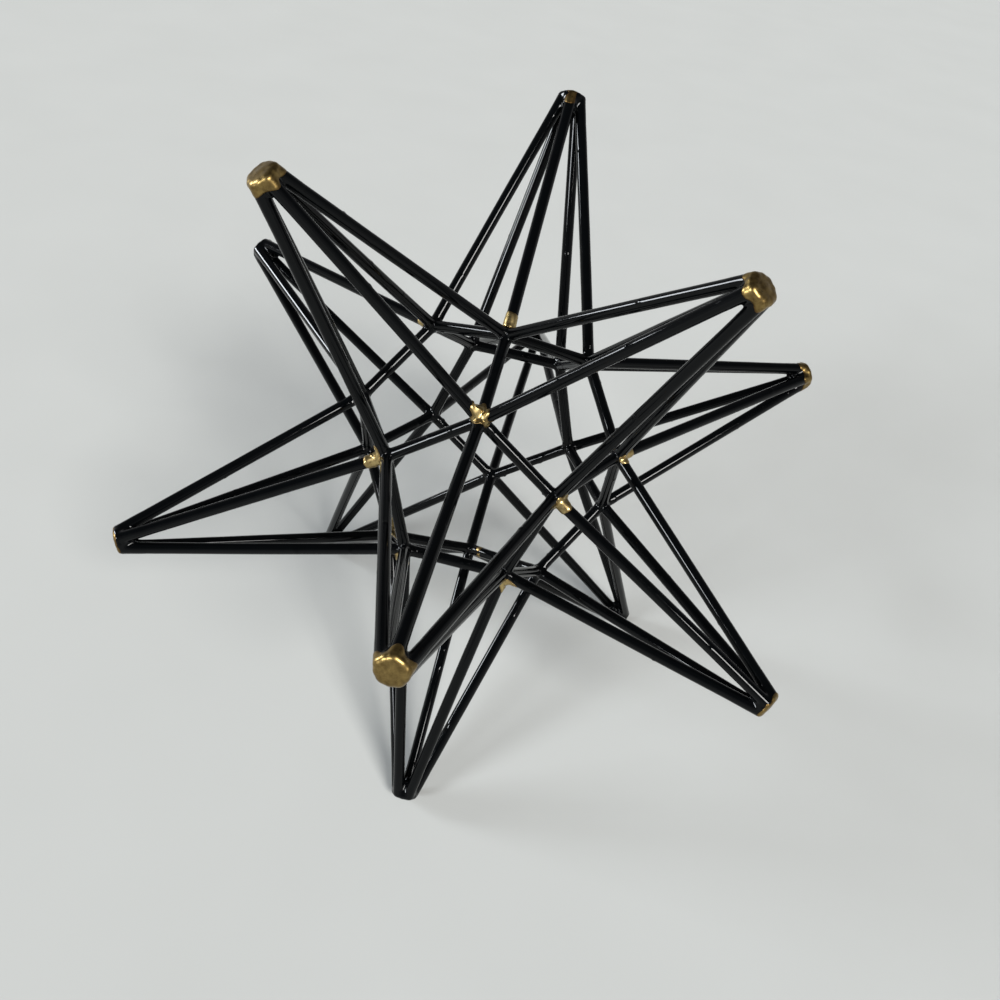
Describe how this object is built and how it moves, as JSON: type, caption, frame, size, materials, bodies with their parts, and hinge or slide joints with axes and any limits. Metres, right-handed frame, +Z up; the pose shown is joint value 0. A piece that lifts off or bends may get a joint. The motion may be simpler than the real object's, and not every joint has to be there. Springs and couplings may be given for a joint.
{
  "type": "geometric star sculpture",
  "caption": "Wire star ornament: long tapered rod spikes welded to an open polyhedral rod core, gloss black enamel with brass-gilt blunt tips; stands on its points.",
  "frame": {"origin": "on the table plane, below the star's centre", "axes": "+Z up, +Y toward the back spike of the top ring, +X to the right seen from the front"},
  "size_m": [0.1726, 0.197, 0.1621],
  "materials": {
    "spike_black_enamel": "gloss black enamel over steel rod",
    "core_black_enamel": "gloss black enamel over steel rod and weld beads",
    "cap_black_enamel": "gloss black enamel over the weld that closes a tip",
    "cap_brass": "antique gold over the weld that closes a tip"
  },
  "bodies": {
    "root": {"beaded_core_rod_foot_right_to_foot_left": "core_black_enamel", "beaded_core_rod_lower_left_to_foot_left": "core_black_enamel", "beaded_core_rod_lower_right_to_foot_right": "core_black_enamel", "beaded_core_rod_top_left_to_top_right": "core_black_enamel", "beaded_core_rod_top_left_to_upper_left": "core_black_enamel", "beaded_core_rod_top_right_to_upper_right": "core_black_enamel", "beaded_core_rod_upper_front_to_lower_left": "core_black_enamel", "beaded_core_rod_upper_front_to_lower_right": "core_black_enamel", "beaded_core_rod_upper_left_to_lower_back": "core_black_enamel", "beaded_core_rod_upper_right_to_lower_back": "core_black_enamel", "core_rod_foot_front_to_foot_left": "core_black_enamel", "core_rod_foot_front_to_foot_right": "core_black_enamel", "core_rod_lower_back_to_foot_left": "core_black_enamel", "core_rod_lower_back_to_foot_right": "core_black_enamel", "core_rod_lower_left_to_foot_front": "core_black_enamel", "core_rod_lower_right_to_foot_front": "core_black_enamel", "core_rod_top_back_to_lower_back": "core_black_enamel", "core_rod_top_back_to_top_left": "core_black_enamel", "core_rod_top_back_to_top_right": "core_black_enamel", "core_rod_top_back_to_upper_left": "core_black_enamel", "core_rod_top_back_to_upper_right": "core_black_enamel", "core_rod_top_left_to_lower_left": "core_black_enamel", "core_rod_top_left_to_upper_front": "core_black_enamel", "core_rod_top_right_to_lower_right": "core_black_enamel", "core_rod_top_right_to_upper_front": "core_black_enamel", "core_rod_upper_front_to_foot_front": "core_black_enamel", "core_rod_upper_left_to_foot_left": "core_black_enamel", "core_rod_upper_left_to_lower_left": "core_black_enamel", "core_rod_upper_right_to_foot_right": "core_black_enamel", "core_rod_upper_right_to_lower_right": "core_black_enamel", "spike_foot_front": "spike_black_enamel", "spike_foot_left": "spike_black_enamel", "spike_foot_right": "spike_black_enamel", "spike_lower_back": "spike_black_enamel", "spike_lower_left": "spike_black_enamel", "spike_lower_right": "spike_black_enamel", "spike_top_back": "spike_black_enamel", "spike_top_left": "spike_black_enamel", "spike_top_right": "spike_black_enamel", "spike_upper_front": "spike_black_enamel", "spike_upper_left": "spike_black_enamel", "spike_upper_right": "spike_black_enamel", "tip_cap_foot_front": "cap_black_enamel", "tip_cap_foot_left": "cap_black_enamel", "tip_cap_foot_right": "cap_black_enamel", "tip_cap_lower_back": "cap_black_enamel", "tip_cap_lower_left": "cap_brass", "tip_cap_lower_right": "cap_brass", "tip_cap_top_back": "cap_brass", "tip_cap_top_left": "cap_brass", "tip_cap_top_right": "cap_brass", "tip_cap_upper_front": "cap_brass", "tip_cap_upper_left": "cap_black_enamel", "tip_cap_upper_right": "cap_brass"}
  },
  "joints": []
}
